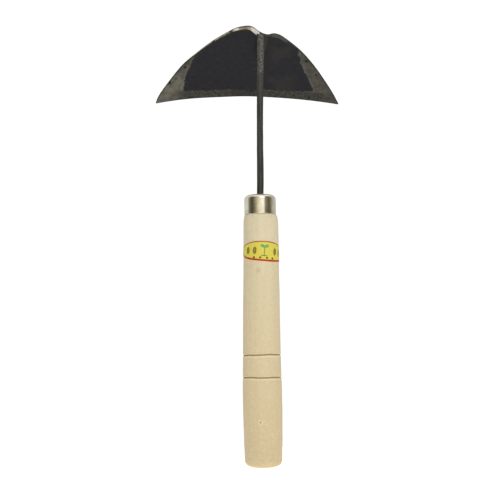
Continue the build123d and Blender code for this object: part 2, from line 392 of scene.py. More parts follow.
chamfer = 0.22 * (1 - smooth(0.0, 0.35, d_edge))
hin = inner_h(U, W) - 0.16 * hammer * (1 - ground) - 0.14 * ground - chamfer
hin = hin - 0.05 * fnoise(U / 2.6, W / 2.6, 0, 21, 2) * (1 - ground)
thin = 0.62 * (1 - smooth(0.0, 7.0, d_bot))                  # outer side relieved towards the edge
hout = outer_h(U, W) + 0.14 * hammer_o + chamfer + thin * smooth(0.3, 5.0, np.minimum(d_top, 5.0) + 0.3)
hout = hout + 0.04 * fnoise(U / 2.4 + 9, W / 2.4, 0, 33, 2)
hout = np.minimum(hout, hin - 0.28)
P_in = blade_xyz(U, W, hin).reshape(-1, 3)
P_out = blade_xyz(U, W, hout).reshape(-1, 3)
nb = NC * NR
faces = grid_faces(NC, NR, 0, flip=True) + grid_faces(NC, NR, nb, flip=False)
# rim rings: an extra row in the middle of the wall all round
border = [(i, 0) for i in range(NC)] + [(NC - 1, j) for j in range(1, NR)] + \
         [(i, NR - 1) for i in range(NC - 2, -1, -1)] + [(0, j) for j in range(NR - 2, 0, -1)]
bi = np.array([i * NR + j for i, j in border])
K = 8
rim = []
for k in range(1, K):
    t = k / K
    bulge = 0.10 * math.sin(math.pi * t)
    mid = P_in[bi] * (1 - t) + P_out[bi] * t
    wob = (fnoise(U.ravel()[bi] / 3.0, W.ravel()[bi] / 3.0, t * 3.0, 51, 2) - 0.5)[:, None]
    inward = blade_xyz(np.full(len(bi), -4.0), np.full(len(bi), 34.0), inner_h(-4.0, 34.0)) - mid
    inward = inward - (inward @ ND)[:, None] * ND
    inward = inward / np.linalg.norm(inward, axis=1)[:, None]
    rim.append(mid + inward * (0.10 - bulge + 0.10 * wob))
rim = np.array(rim)
nbi = len(bi)
base = 2 * nb
ring_ids = [bi] + [base + k * nbi + np.arange(nbi) for k in range(K - 1)] + [bi + nb]
for k in range(K):
    a, b = ring_ids[k], ring_ids[k + 1]
    for m in range(nbi):
        m2 = (m + 1) % nbi
        faces.append((a[m], a[m2], b[m2], b[m]))
verts = np.concatenate([P_in, P_out, rim.reshape(-1, 3)])
wall_t = np.concatenate([np.zeros(nb), np.ones(nb), np.repeat(np.arange(1, K) / K, nbi)])
uu = np.concatenate([U.ravel(), U.ravel(), np.tile(U.ravel()[bi], K - 1)])
ww = np.concatenate([W.ravel(), W.ravel(), np.tile(W.ravel()[bi], K - 1)])
is_rim = np.concatenate([np.zeros(2 * nb), np.ones(nbi * (K - 1))])
is_rim[bi] = 0.55
is_rim[bi + nb] = 0.8
is_top = np.zeros(len(verts))
topmask = np.array([1.0 if j == 0 else 0.0 for i, j in border])
is_top[bi] = topmask
is_top[bi + nb] = topmask
is_top[base:] = np.tile(topmask, K - 1)
side = np.concatenate([np.ones(nb), np.zeros(nb), np.full(nbi * (K - 1), 0.5)])
gd_all = np.concatenate([gd.ravel(), 9 * np.ones(nb) * 0 + (3.0 - d_bot.ravel()), np.full(nbi * (K - 1), 5.0)])
de_all = np.concatenate([d_edge.ravel(), d_edge.ravel(), np.zeros(nbi * (K - 1))])
db_all = np.concatenate([d_bot.ravel(), d_bot.ravel(), np.tile(d_bot.ravel()[bi], K - 1)])
blade = build("blade_forged", verts, faces, 40.0, attrs={
    "gd": gd_all, "edge_d": de_all, "bot_d": db_all, "rim": is_rim, "rim_top": is_rim * is_top, "wall": wall_t, "side": side, "bu": uu, "bw": ww})

m = Mat("blade_steel_looks")
SC0, SC1, SC2, SCB = (23, 23, 28), (29, 29, 34), (37, 37, 41), (46, 44, 41)
GR0, GR1, GR2 = (60, 58, 53), (82, 79, 72), (98, 95, 87)
GT0, GT1 = (82, 81, 71), (106, 104, 92)
BB0, BB1 = (34, 33, 29), (66, 65, 59)
TN0, TN1 = (78, 73, 60), (120, 114, 98)
# cream to white colours of the painted highlight on the sheared arris
HIGHLIGHT0, HIGHLIGHT1, HIGHLIGHT2 = (124, 117, 98), (176, 168, 146), (236, 232, 218)
obj = m.obj()
bu, bw = m.attr("bu").outputs["Fac"], m.attr("bw").outputs["Fac"]
gda, eda, bda = m.attr("gd").outputs["Fac"], m.attr("edge_d").outputs["Fac"], m.attr("bot_d").outputs["Fac"]
rma, sda, rta = m.attr("rim").outputs["Fac"], m.attr("side").outputs["Fac"], m.attr("rim_top").outputs["Fac"]
wla = m.attr("wall").outputs["Fac"]
uw = m.comb(bu, bw, sda)
n_big = m.noise(m.mapping(uw, (0.05, 0.05, 3)), 1.0, 3.0, 0.6)
n_mid = m.noise(m.mapping(uw, (0.30, 0.30, 3)), 1.0, 4.0, 0.65)
n_fine = m.noise(m.mapping(uw, (1.7, 1.7, 3)), 1.0, 3.0, 0.7)
n_edge = m.noise(m.mapping(uw, (0.40, 0.40, 3)), 1.0, 5.0, 0.75)
# forge scale: near black, faintly blue, a little browner low on the right of the neck
scale_c = m.ramp(n_mid, [(0.30, lin(SC0)), (0.55, lin(SC1)), (0.75, lin(SC2))])
brown_zone = m.math("MULTIPLY", m.band(bu, 3.0, 10.0), m.band(bu, 34.0, 22.0))
scale_c = m.mix(m.math("MULTIPLY", brown_zone, m.band(n_big, 0.40, 0.62, 0.0, 0.6)), scale_c, lin(SCB))
scale_c = m.mix(m.band(n_big, 0.60, 0.76, 0, 0.25), scale_c, lin(SCB))
scale_c = m.mix(m.band(n_fine, 0.56, 0.74, 0, 0.6), scale_c, lin((56, 56, 58)))
scale_c = m.mix(m.band(n_fine, 0.26, 0.44, 0.7, 0), scale_c, lin((12, 12, 16)))
# the back face: scale worn through to brownish grey in soft patches, with drawn scratches
bk_n = m.noise(m.mapping(uw, (0.085, 0.13, 3), loc=(11, 4, 0), rot=(0, 0, 0.3)), 1.0, 5.0, 0.68)
bk_s = m.noise(m.mapping(uw, (0.10, 1.9, 3), loc=(3, 2, 0), rot=(0, 0, -0.28)), 1.0, 4.0, 0.7)
bk_c = m.ramp(bk_n, [(0.30, lin((52, 53, 56))), (0.48, lin((64, 64, 65))), (0.62, lin((76, 73, 69))), (0.76, lin((90, 84, 76)))])
bk_c = m.mix(m.band(bk_s, 0.56, 0.70, 0, 0.4), bk_c, lin((120, 116, 108)))
bk_c = m.mix(m.band(n_fine, 0.26, 0.42, 0.5, 0), bk_c, lin((40, 40, 42)))
scale_c = m.mix(m.band(sda, 0.65, 0.35), scale_c, bk_c)
# bare ground steel
scr = m.noise(m.mapping(uw, (3.2, 0.25, 3), rot=(0, 0, 0.15)), 1.0, 3.0, 0.6)
cloud = m.noise(m.mapping(uw, (0.16, 0.16, 3), loc=(5, 1, 0)), 1.0, 3.0, 0.6)
streak = m.noise(m.mapping(uw, (0.9, 0.10, 3), loc=(2, 8, 0), rot=(0, 0, 0.5)), 1.0, 3.0, 0.65)
g_lo, g_hi = lin(GR0), lin(GR1)
grd_c = m.mix(m.band(cloud, 0.32, 0.68), g_lo, g_hi)
grd_c = m.mix(m.band(streak, 0.55, 0.75, 0, 0.35), grd_c, lin(GR2))
left_tip = m.math("MULTIPLY", m.band(bu, -52.0, -64.0), m.band(bw, 28.0, 44.0))
grd_c = m.mix(left_tip, grd_c, m.mix(m.band(cloud, 0.32, 0.68), lin(GT0), lin(GT1)))
dull = m.band(m.math("ADD", bda, m.math("MULTIPLY", m.math("SUBTRACT", n_edge, 0.5), 6.0)), 7.0, 11.0, 1.0, 0.0)
inner_zone = m.math("MULTIPLY", dull, m.band(m.math("ABSOLUTE", m.math("ADD", bu, 6.0)), 72.0, 52.0))
grd_c = m.mix(inner_zone, grd_c, m.mix(m.band(n_edge, 0.36, 0.62), lin(BB0), lin(BB1)))
mid_band = m.math("MULTIPLY", inner_zone, m.band(m.math("ABSOLUTE", m.math("ADD", bu, 12.0)), 16.0, 5.0))
grd_c = m.mix(m.math("MULTIPLY", mid_band, 0.7), grd_c, lin((40, 39, 36)))
grd_c = m.mix(m.band(n_fine, 0.60, 0.78, 0, 0.22), grd_c, lin((112, 110, 104)))
grd_c = m.mix(m.band(n_fine, 0.24, 0.40, 0.35, 0), grd_c, lin((46, 45, 40)))
pits = m.band(m.noise(m.mapping(uw, (0.42, 0.42, 3), loc=(7, 3, 0)), 1.0, 2.0, 0.5), 0.70, 0.76)
grd_c = m.mix(m.math("MULTIPLY", pits, 0.7), grd_c, lin((36, 35, 31)))
for pu, pw, pr in [(-58.8, 27.2, 1.1), (-72.2, 41.6, 1.5), (38.1, 22.7, 1.2), (40.6, 59.7, 0.9), (-66.5, 38.0, 0.7), (46.0, 36.5, 0.8)]:
    ddx, ddy = m.math("SUBTRACT", bu, pu), m.math("SUBTRACT", bw, pw)
    dd = m.math("SQRT", m.math("ADD", m.math("MULTIPLY", ddx, ddx), m.math("MULTIPLY", ddy, ddy)))
    dd = m.math("ADD", dd, m.math("MULTIPLY", m.math("SUBTRACT", n_fine, 0.5), 1.0))
    grd_c = m.mix(m.band(dd, pr * 0.6, pr * 1.6, 0.95, 0.0), grd_c, lin((24, 23, 19)))
ragged = m.math("ADD", gda, m.math("MULTIPLY", m.math("SUBTRACT", n_edge, 0.5), 5.4))
g_mask = m.band(ragged, -0.40, 0.40)
col = m.mix(g_mask, scale_c, grd_c)
rust = m.band(m.math("ABSOLUTE", m.math("ADD", ragged, 0.7)), 1.0, 0.0, 0, 0.5)
col = m.mix(m.math("MULTIPLY", rust, m.band(n_mid, 0.45, 0.6)), col, lin((44, 38, 30)))
lip = m.band(m.math("ABSOLUTE", m.math("SUBTRACT", ragged, 0.9)), 0.8, 0.0, 0, 0.35)
lip = m.math("MULTIPLY", lip, m.band(inner_zone, 0.0, 0.8, 1.0, 0.15))
col = m.mix(m.math("MULTIPLY", lip, g_mask), col, lin((112, 110, 104)))
# painted shade: a thin dark line along the outer edges stands in for the shadow of the burr
edge_burr_shadow = m.band(eda, 0.95, 0.25, 0, 0.85)
col = m.mix(edge_burr_shadow, col, lin((30, 30, 27)))
# sheared wall: tan grey, lighter along the left hump, with a painted highlight along its inner arris and painted white
# highlights at two places
rim_n = m.noise(m.mapping(uw, (0.22, 0.22, 2.0), loc=(2, 0, 0)), 1.0, 3.0, 0.6)
rim_m = m.noise(m.mapping(uw, (0.8, 0.8, 2.0), loc=(2, 7, 0)), 1.0, 3.0, 0.6)
left_on = m.math("MULTIPLY", m.band(bu, -62.0, -48.0), m.band(bu, 1.4, 0.2))
wall_j = m.math("ADD", wla, m.math("MULTIPLY", m.math("SUBTRACT", rim_m, 0.5), 0.5))
tan_c = m.mix(m.band(rim_m, 0.35, 0.65), lin(TN0), lin(TN1))
tan_c = m.mix(m.band(bu, -21.0, -25.0, 0, 0.9), tan_c, m.mix(m.band(rim_m, 0.35, 0.65), lin((128, 125, 112)), lin((172, 169, 154))))
# painted highlight: cream along the arris, painted white at two places
highlight_c = m.mix(m.band(rim_n, 0.40, 0.58), lin(HIGHLIGHT0), lin(HIGHLIGHT1))
highlight_spot_a = m.math("MULTIPLY", m.band(bu, -20.5, -18.5), m.band(bu, -14.5, -16.5))
highlight_spot_b = m.math("MULTIPLY", m.band(bu, -7.5, -4.0), m.band(bu, 1.2, 0.4))
highlight_c = m.mix(m.math("MAXIMUM", highlight_spot_a, highlight_spot_b), highlight_c, lin(HIGHLIGHT2))
# band of the wall that carries the painted highlight, wider at the two white places
arris_highlight = m.math("MULTIPLY", m.band(wall_j, -0.10, 0.06), m.band(wall_j, 0.50, 0.32))
highlight_end_wide = m.math("MULTIPLY", m.band(wall_j, -0.05, 0.08), m.band(wall_j, 0.78, 0.60))
arris_highlight = m.math("MAXIMUM", arris_highlight, m.math("MULTIPLY", highlight_end_wide, m.math("MAXIMUM", highlight_spot_a, highlight_spot_b)))
rim_l = m.mix(arris_highlight, tan_c, highlight_c)
nick = m.math("MAXIMUM", m.band(m.math("ABSOLUTE", m.math("ADD", bu, 35.5)), 1.6, 0.7, 0, 0.9), m.band(m.math("ABSOLUTE", m.math("ADD", bu, 21.6)), 1.2, 0.5, 0, 0.8))
rim_l = m.mix(nick, rim_l, lin((44, 40, 32)))
rim_r = m.mix(m.band(rim_n, 0.35, 0.65), lin((52, 52, 48)), lin((78, 77, 70)))
rim_r = m.mix(m.math("MULTIPLY", m.band(wall_j, 0.15, 0.3), m.band(wall_j, 0.7, 0.5, 0, 0.6)), rim_r, lin((96, 95, 88)))
rim_r = m.mix(m.math("MULTIPLY", m.band(bu, 0.2, 1.2), m.band(bu, 10.5, 8.6)), rim_r, m.mix(m.band(rim_m, 0.35, 0.65), lin((46, 46, 42)), lin((66, 64, 58))))
rim_c = m.mix(left_on, rim_r, rim_l)
rim_f = m.band(rta, 0.56, 0.70)
rim_o = m.band(rma, 0.56, 0.70)
col = m.mix(rim_o, col, m.mix(m.band(rim_n, 0.35, 0.65), lin((46, 45, 41)), lin((76, 74, 68))))
col = m.mix(rim_f, col, rim_c)
# the same sheared arris seen on the inner face: a painted highlight on the burr over the hump, and a painted brown
# shadow line under it
inner_f = m.math("MULTIPLY", m.math("MULTIPLY", m.band(sda, 0.70, 0.90), m.band(bda, 8.0, 14.0)), m.band(rta, 0.70, 0.56))
eda_j = m.math("ADD", eda, m.math("MULTIPLY", m.math("SUBTRACT", n_edge, 0.5), 1.1))
burr_w = m.math("ADD", m.band(bu, -22.0, -5.0, 0.10, 0.90), m.math("MULTIPLY", m.math("MULTIPLY", m.band(bu, -8.5, -4.0), m.band(bu, 0.9, -0.6)), 0.9))
# painted highlight on the burr
burr_highlight = m.band(m.math("SUBTRACT", eda_j, burr_w), 0.25, -0.25)
burr_highlight = m.math("MULTIPLY", m.math("MULTIPLY", burr_highlight, inner_f), m.math("MULTIPLY", m.band(bu, -23.0, -15.0), m.band(bu, 0.8, -0.1)))
# painted shadow: brown line under the burr
under_burr_shadow = m.band(m.math("ABSOLUTE", m.math("SUBTRACT", m.math("SUBTRACT", eda_j, burr_w), 0.75)), 0.85, 0.35)
under_burr_shadow = m.math("MULTIPLY", m.math("MULTIPLY", under_burr_shadow, inner_f), m.math("MULTIPLY", m.band(bu, -56.0, -48.0), m.band(bu, 2.5, 1.0)))
col = m.mix(m.math("MULTIPLY", under_burr_shadow, 0.75), col, lin((40, 31, 24)))
col = m.mix(m.math("MULTIPLY", burr_highlight, 0.92), col, highlight_c)
right_hump = m.math("MULTIPLY", m.math("MULTIPLY", m.band(bu, 9.0, 12.5), m.band(bu, 24.0, 20.0)), m.math("MULTIPLY", m.band(eda_j, 1.7, 1.0), inner_f))
col = m.mix(m.math("MULTIPLY", right_hump, 0.75), col, lin((88, 88, 82)))
rough = m.mix(g_mask, m.band(n_fine, 0.2, 0.8, 0.52, 0.74), m.band(scr, 0.3, 0.7, 0.40, 0.56))
h = m.math("ADD", m.math("MULTIPLY", n_fine, m.band(g_mask, 0, 1, 1.0, 0.35)), m.math("MULTIPLY", scr, m.band(g_mask, 0, 1, 0.0, 0.4)))
h = m.math("ADD", h, m.math("MULTIPLY", g_mask, -0.6))
nrm = m.bump(h, 0.35, 0.00012)
m.set(Base_Color=col, Roughness=rough, Normal=nrm, Metallic=m.band(g_mask, 0, 1, 0.0, 0.3), Specular_IOR_Level=0.16)
blade.data.materials.append(m.m)
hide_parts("blade")
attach(blade, "root")

# -------------------------------------------------------------------- shank
ROD = [(203.5, 0.15, 2.60), (214, 0.42, 2.62), (228, 0.56, 2.65), (243, 0.60, 2.53), (258, 0.70, 2.49),
       (274, 0.95, 2.50), (290, 1.23, 2.52), (306, 1.60, 2.58), (316, 1.88, 2.66), (325.4, 2.05, 2.74)]
NECK_X, BEND_R, BEND_Z = 2.05, 5.5, 325.4
NSEG = 44
ang = np.arange(NSEG) * 2 * math.pi / NSEG


def squircle(a, half, p):
    """Radius at angle a of a superellipse of half width half."""
    return half / (np.abs(np.cos(a)) ** p + np.abs(np.sin(a)) ** p) ** (1.0 / p)


rings, zone = [], []


def ring(center, e1, e2, rad1, rad2, tag):
    rings.append(center + np.outer(rad1, e1) * 1.0 + np.outer(rad2, e2))
    zone.append(np.full(NSEG, tag))


ex, ey = np.array([1.0, 0, 0]), np.array([0, 1.0, 0])
for z in np.linspace(112.0, 203.2, 60):
    half = (1.6 + (3.4 - 1.6) * (z - 112.0) / 93.0) / 2
    k = 1 - 0.55 * (1 - smooth(112.0, 114.5, z))
    r = squircle(ang, half, 14.0) * k
    ring(np.array([0, 0, z]), ex, ey, r * np.cos(ang), r * np.sin(ang), 0.0)
RZ = np.array([a[0] for a in ROD])
for z in np.concatenate([np.linspace(203.9, 206.2, 4), np.linspace(207.0, BEND_Z, 165)]):
    x = np.interp(z, RZ, [a[1] for a in ROD])
    r0 = np.interp(z, RZ, [a[2] for a in ROD])
    bl = smooth(203.2, 205.5, z)
    r = squircle(ang, 1.68, 14.0) * (1 - bl) + r0 * bl if z < 205.5 else np.full(NSEG, r0)
    amp = 0.02 + 0.075 * smooth(296, 306, z)
    nz = fnoise(np.cos(ang) * 1.6 + 5, np.sin(ang) * 1.6, z / 1.5, 71, 2) - 0.5
    slow = fnoise(np.cos(ang) * 0.7 + 5, np.sin(ang) * 0.7, z / 9.0, 75, 2) - 0.5
    if z > 207.5:
        r = r + amp * 2 * nz - 0.02 + 0.14 * slow
    ring(np.array([x, 0, z]), ex, ey, r * np.cos(ang), r * np.sin(ang), 1.0)
turn = math.radians(125.0)
for a in np.linspace(0, turn, 26)[1:]:
    c = np.array([NECK_X, BEND_R - BEND_R * math.cos(a), BEND_Z + BEND_R * math.sin(a)])
    e2 = np.array([0, math.cos(a), -math.sin(a)])
    nz = fnoise(np.cos(ang) * 1.6 + 5, np.sin(ang) * 1.6, (BEND_Z + BEND_R * a) / 1.5, 71, 2) - 0.5
    r = 2.70 + 0.15 * nz
    flat = 1 - 0.06 * math.sin(a * math.pi / turn)
    ring(c, ex, e2, r * np.cos(ang), r * flat * np.sin(ang), 2.0)
leg0 = np.array([NECK_X, BEND_R - BEND_R * math.cos(turn), BEND_Z + BEND_R * math.sin(turn)])
LEG = [(0, 2.74, 2.74, 0.0), (5, 2.95, 2.4, -0.35), (11, 3.05, 2.05, -0.55), (17, 2.8, 1.6, -0.45), (21.5, 2.3, 1.2, -0.2), (23.0, 1.7, 0.8, -0.05)]
LA = np.array(LEG)
for s in np.concatenate([np.linspace(0.6, 20.5, 34), [21.3, 22.0, 22.5, 22.9]]):
    hw, ht, sink = [np.interp(s, LA[:, 0], LA[:, k]) for k in (1, 2, 3)]
    c = leg0 + DD * s - ND * sink
    nz = fnoise(np.cos(ang) * 1.6 + 5, np.sin(ang) * 1.6, (336 + s) / 1.5, 71, 2) - 0.5
    k = 1 + 0.05 * nz
    ring(c, ex, -ND, hw * k * np.cos(ang), ht * k * np.sin(ang), 3.0)
nring = len(rings)
V = np.array(rings)
# the leg lies on the hollow face: nothing of it goes below that face
u_, w_, h_ = to_uwh(V.reshape(-1, 3))
floor_h = inner_h(u_, w_)
on_plate = (w_ > w_top(u_) - 0.6) & (np.repeat(np.arange(nring), NSEG) > nring - 66)
h_new = np.where(on_plate, np.maximum(h_, floor_h + 0.004), h_)
Vf = V.reshape(-1, 3) + (h_new - h_)[:, None] * ND
zt = np.array(zone).ravel()
verts = np.concatenate([Vf, [rings[0].mean(0)], [Vf[-NSEG:].mean(0)]])
faces = []
for i in range(nring - 1):
    for j in range(NSEG):
        j2 = (j + 1) % NSEG
        faces.append((i * NSEG + j, i * NSEG + j2, (i + 1) * NSEG + j2, (i + 1) * NSEG + j))
nV = nring * NSEG
for j in range(NSEG):
    j2 = (j + 1) % NSEG
    faces.append((nV, j2, j))
    faces.append((nV + 1, (nring - 1) * NSEG + j, (nring - 1) * NSEG + j2))
zt = np.concatenate([zt, [0.0, 3.0]])
shank = build("shank_forged", verts, faces, 50.0, attrs={"zone": zt})
m = Mat("shank_steel_looks")
obj = m.obj()
x, y, z = m.xyz(obj)
mm = m.mapping(obj, (1000, 1000, 1000))
rough_zone = m.math("MULTIPLY", m.band(z, 0.296, 0.304), m.band(y, 0.012, 0.006))
long_n = m.noise(m.mapping(mm, (0.9, 0.9, 0.06)), 1.0, 3.0, 0.6)
gr = m.noise(m.mapping(mm, (1.05, 1.05, 0.95)), 1.0, 4.0, 0.75)
gr2 = m.noise(m.mapping(mm, (0.5, 0.5, 0.35), loc=(3, 1, 2)), 1.0, 3.0, 0.6)
base_c = m.mix(m.band(long_n, 0.35, 0.65), lin((54, 56, 52)), lin((73, 75, 70)))
base_c = m.mix(m.band(gr, 0.60, 0.75, 0, 0.4), base_c, lin((82, 82, 76)))
rough_c = m.ramp(gr, [(0.38, lin((48, 48, 46))), (0.50, lin((84, 84, 81))), (0.62, lin((136, 135, 130)))])
rough_c = m.mix(m.band(gr2, 0.5, 0.7, 0, 0.4), rough_c, lin((86, 80, 72)))
low_c = m.mix(m.band(gr, 0.35, 0.65), lin((61, 60, 57)), lin((85, 83, 79)))
lower_blade = m.math("MULTIPLY", m.band(z, 0.285, 0.288), m.band(z, 0.303, 0.300))
col = m.mix(rough_zone, base_c, rough_c)
col = m.mix(m.math("MULTIPLY", lower_blade, 0.8), col, low_c)
h = m.math("ADD", m.math("MULTIPLY", gr, m.band(rough_zone, 0, 1, 0.35, 1.0)), m.math("MULTIPLY", long_n, 0.4))
nrm = m.bump(h, 0.5, 0.00018)
m.set(Base_Color=col, Roughness=m.band(gr, 0.3, 0.7, 0.62, 0.46), Normal=nrm, Metallic=0.2, Specular_IOR_Level=0.2)
shank.data.materials.append(m.m)
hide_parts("shank")
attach(shank, "root")

# --------------------------------------------------------------- weld bead
WELD = np.array([
    (-7.0, 3.4, 4.9, 2.3), (-4.0, 3.5, 5.1, 2.7), (0.6, 3.2, 4.9, 2.9), (4.2, 2.9, 4.4, 2.7), (9.0, 2.4, 3.9, 2.0),
    (15.0, 1.9, 3.4, 1.6), (21.0, 1.5, 2.9, 1.2), (24.5, 1.4, 1.9, 0.7), (25.4, 1.4, 1.0, 0.3)])
NW, NU = 120, 44
wl = np.linspace(-7.0, 25.3, NW)
tt = np.linspace(-1, 1, NU)
uc, hw, hh = [np.interp(wl, WELD[:, 0], WELD[:, k])[:, None] for k in (1, 2, 3)]
wob = 0.25 * (fnoise(wl / 2.2, 0, 0, 91, 2) - 0.5)[:, None]
UU = uc + (hw + wob) * tt[None, :]
WW = wl[:, None] + 0.9 * (1 - tt[None, :] ** 2) * 0.0 + np.zeros_like(UU)
WW = np.maximum(WW, w_top(UU) + 0.12)
prof = np.sqrt(np.clip(1 - tt[None, :] ** 2, 0, 1)) ** 1.2
rip = 0.10 * np.sin((WW + 0.8 * np.abs(UU - uc)) * 2 * math.pi / 1.7) + 0.12 * (fnoise(UU / 1.3, WW / 1.3, 0, 95, 2) - 0.5)
HT = np.maximum(hh * prof + rip * prof, 0)
top_h = inner_h(UU, WW) + HT + 0.02
bot_h = inner_h(UU, WW) + 0.0
Pt = blade_xyz(UU, WW, top_h).reshape(-1, 3)
Pb = blade_xyz(UU, WW, bot_h).reshape(-1, 3)
n0 = NW * NU
faces = grid_faces(NW, NU, 0, flip=False) + grid_faces(NW, NU, n0, flip=True)
bd = [(i, 0) for i in range(NW)] + [(NW - 1, j) for j in range(1, NU)] + [(i, NU - 1) for i in range(NW - 2, -1, -1)] + [(0, j) for j in range(NU - 2, 0, -1)]
bd = [i * NU + j for i, j in bd]
for k in range(len(bd)):
    a, b = bd[k], bd[(k + 1) % len(bd)]
    faces.append((b, a, a + n0, b + n0))
weld = build("weld_bead", np.concatenate([Pt, Pb]), faces, 60.0)
m = Mat("weld_metal_looks")
obj = m.obj()
mm = m.mapping(obj, (1000, 1000, 1000))
g1 = m.noise(m.mapping(mm, (0.7, 0.7, 0.7)), 1.0, 4.0, 0.65)
g2 = m.noise(m.mapping(mm, (2.4, 2.4, 2.4)), 1.0, 2.0, 0.6)
col = m.ramp(g1, [(0.32, lin((31, 30, 27))), (0.5, lin((44, 42, 38))), (0.68, lin((58, 55, 50)))])
col = m.mix(m.band(g2, 0.6, 0.75, 0, 0.35), col, lin((72, 66, 58)))
m.set(Base_Color=col, Roughness=m.band(g2, 0.3, 0.7, 0.48, 0.66), Normal=m.bump(m.math("ADD", g1, m.math("MULTIPLY", g2, 0.5)), 0.5, 0.00012), Metallic=0.15, Specular_IOR_Level=0.25)
weld.data.materials.append(m.m)
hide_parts("neck_weld")
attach(weld, "root")


# ------------------------------------------------------------------- handle
def revolve_closed(name, prof, nseg, disp=None, sharp=40.0, attrs=None):
    """prof: list of (r, z) from the axis at one end round to the axis at the other; r=0 ends become poles."""
    prof = np.array(prof, float)
    a = np.arange(nseg) * 2 * math.pi / nseg
    vs_, fs_ = [], []
    poles = {}
    rows = []
    for k, (r, z_) in enumerate(prof):
        if r <= 1e-9:
            poles[k] = len(vs_)
            vs_.append((0.0, 0.0, z_))
            rows.append(None)
        else:
            rows.append(len(vs_))
            rr = np.full(nseg, r)
            zz = np.full(nseg, z_)
            if disp is not None:
                rr, zz = disp(rr, zz, a)
            vs_ += list(zip(rr * np.cos(a), rr * np.sin(a), zz))
    for k in range(len(prof) - 1):
        for j in range(nseg):
            j2 = (j + 1) % nseg
            if rows[k] is None:
                fs_.append((poles[k], rows[k + 1] + j2, rows[k + 1] + j))
            elif rows[k + 1] is None:
                fs_.append((rows[k] + j, rows[k] + j2, poles[k + 1]))
            else:
                fs_.append((rows[k] + j, rows[k] + j2, rows[k + 1] + j2, rows[k + 1] + j))
    return np.array(vs_), fs_


GROOVES = (67.2, 84.1)


def wander(z_):
    """The turned wood is not quite straight: sideways offset of its axis."""
    return np.interp(z_, [20.0, 45.0, 65.0, 84.0, 112.0, 121.0, 130.0, 150.0, 162.0, 176.0, 188.0, 191.0],
                     [0.0, -0.10, -0.20, -0.18, -0.06, 0.0, 0.13, 0.22, 0.32, 0.40, 0.36, 0.30])


outline = spline2([(5.5, 0.02), (7.8, 0.24), (9.8, 0.74), (11.48, 1.34), (12.67, 2.12), (13.52, 3.22), (14.02, 4.5), (14.24, 6.2), (14.34, 8.5)], 4.0).tolist()
long_pts = spline2([(14.34, 8.5), (14.52, 19.6), (14.70, 31.6), (14.87, 42.0), (14.88, 51.0), (14.87, 59.0), (14.66, 67.2), (14.49, 75.0), (14.38, 84.1), (14.23, 98.0),
                    (14.07, 116.0), (13.89, 134.0), (13.62, 146.0)], 1.0).tolist()
z_main = [p for p in long_pts[1:]]
extra = []
for gz in GROOVES:
    extra += [gz + o for o in (-2.2, -1.6, -1.2, -1.0, -0.86, -0.74, -0.6, -0.45, -0.3, -0.15, 0, 0.15, 0.3, 0.45, 0.6, 0.74, 0.86, 1.0, 1.2, 1.6, 2.2)]
zl = np.array([p[1] for p in z_main])
rl = np.array([p[0] for p in z_main])
z_all = np.array(sorted(set([round(v, 3) for v in zl if all(abs(v - g) > 2.3 for g in GROOVES)] + [round(e, 3) for e in extra])))
main = [(np.interp(zz, zl, rl), zz) for zz in z_all]
seat = [(13.62 - 0.24 * (zz - 146.0) / 34.0, zz) for zz in np.linspace(147.0, 180.0, 34)]
shoulder = spline2([(13.38, 180.0), (13.36, 183.0), (13.22, 186.2), (12.98, 188.3), (12.60, 190.0), (12.32, 190.72)], 3.0).tolist()[1:]
nose = [(12.1, 190.83), (11.8, 190.85), (11.5, 190.85), (11.18, 190.87), (11.18, 195.0), (11.18, 199.0), (11.18, 201.7), (10.8, 202.3), (10.0, 203.1), (9.0, 204.0), (8.2, 204.6),
        (6.0, 204.7), (4.0, 204.7), (2.91, 204.7), (2.85, 204.6), (2.85, 204.0), (2.85, 203.05)]
prof = [(0.0, 0.0), (1.5, 0.0), (3.5, 0.0), (4.6, 0.0), (5.2, 0.0)] + outline + main + seat + shoulder + nose


def handle_disp(r, z_, a):
    z0 = z_[0]
    if z0 < 0.5 or z0 > 190.75 or r[0] < 9.0:
        return r, z_
    g = np.zeros_like(r)
    zz = z_.copy()
    for k, gz in enumerate(GROOVES):
        d = z0 - gz
        near = max(0.0, 1 - abs(d) / 3.5)
        zz = zz + near * (0.16 * np.sin(2 * a + 1.1 + k * 2) + 0.10 * np.sin(5 * a + k) + 0.05 * np.sin(11 * a + 2.0 * k))
        g = g - 0.74 * np.clip(1 - abs(d) / 0.72, 0, 1) ** 0.85
        g = g + 0.035 * math.exp(-((abs(d) - 0.95) / 0.22) ** 2)
    fine = 0.010 * math.sin(z0 * 2 * math.pi / 2.3) + 0.008 * math.sin(z0 * 2 * math.pi / 1.37 + 1.0)
    # on the straight run under the label the surface stays true
    calm = 1.0 - 0.9 * float(smooth(144, 147, z0) * (1 - smooth(179, 182, z0)))
    lob = 0.035 * np.cos(2 * a + z0 / 70.0) + 0.02 * np.cos(3 * a - z0 / 40.0)
    flat = 0.05 * (fnoise(np.cos(a) * 1.3 + 4, np.sin(a) * 1.3, z0 / 26.0, 5, 2) - 0.5)
    return r + g + (fine + lob - 0.03 + flat) * calm, zz


NS = 200
vh, fh = revolve_closed("handle", prof, NS, handle_disp)
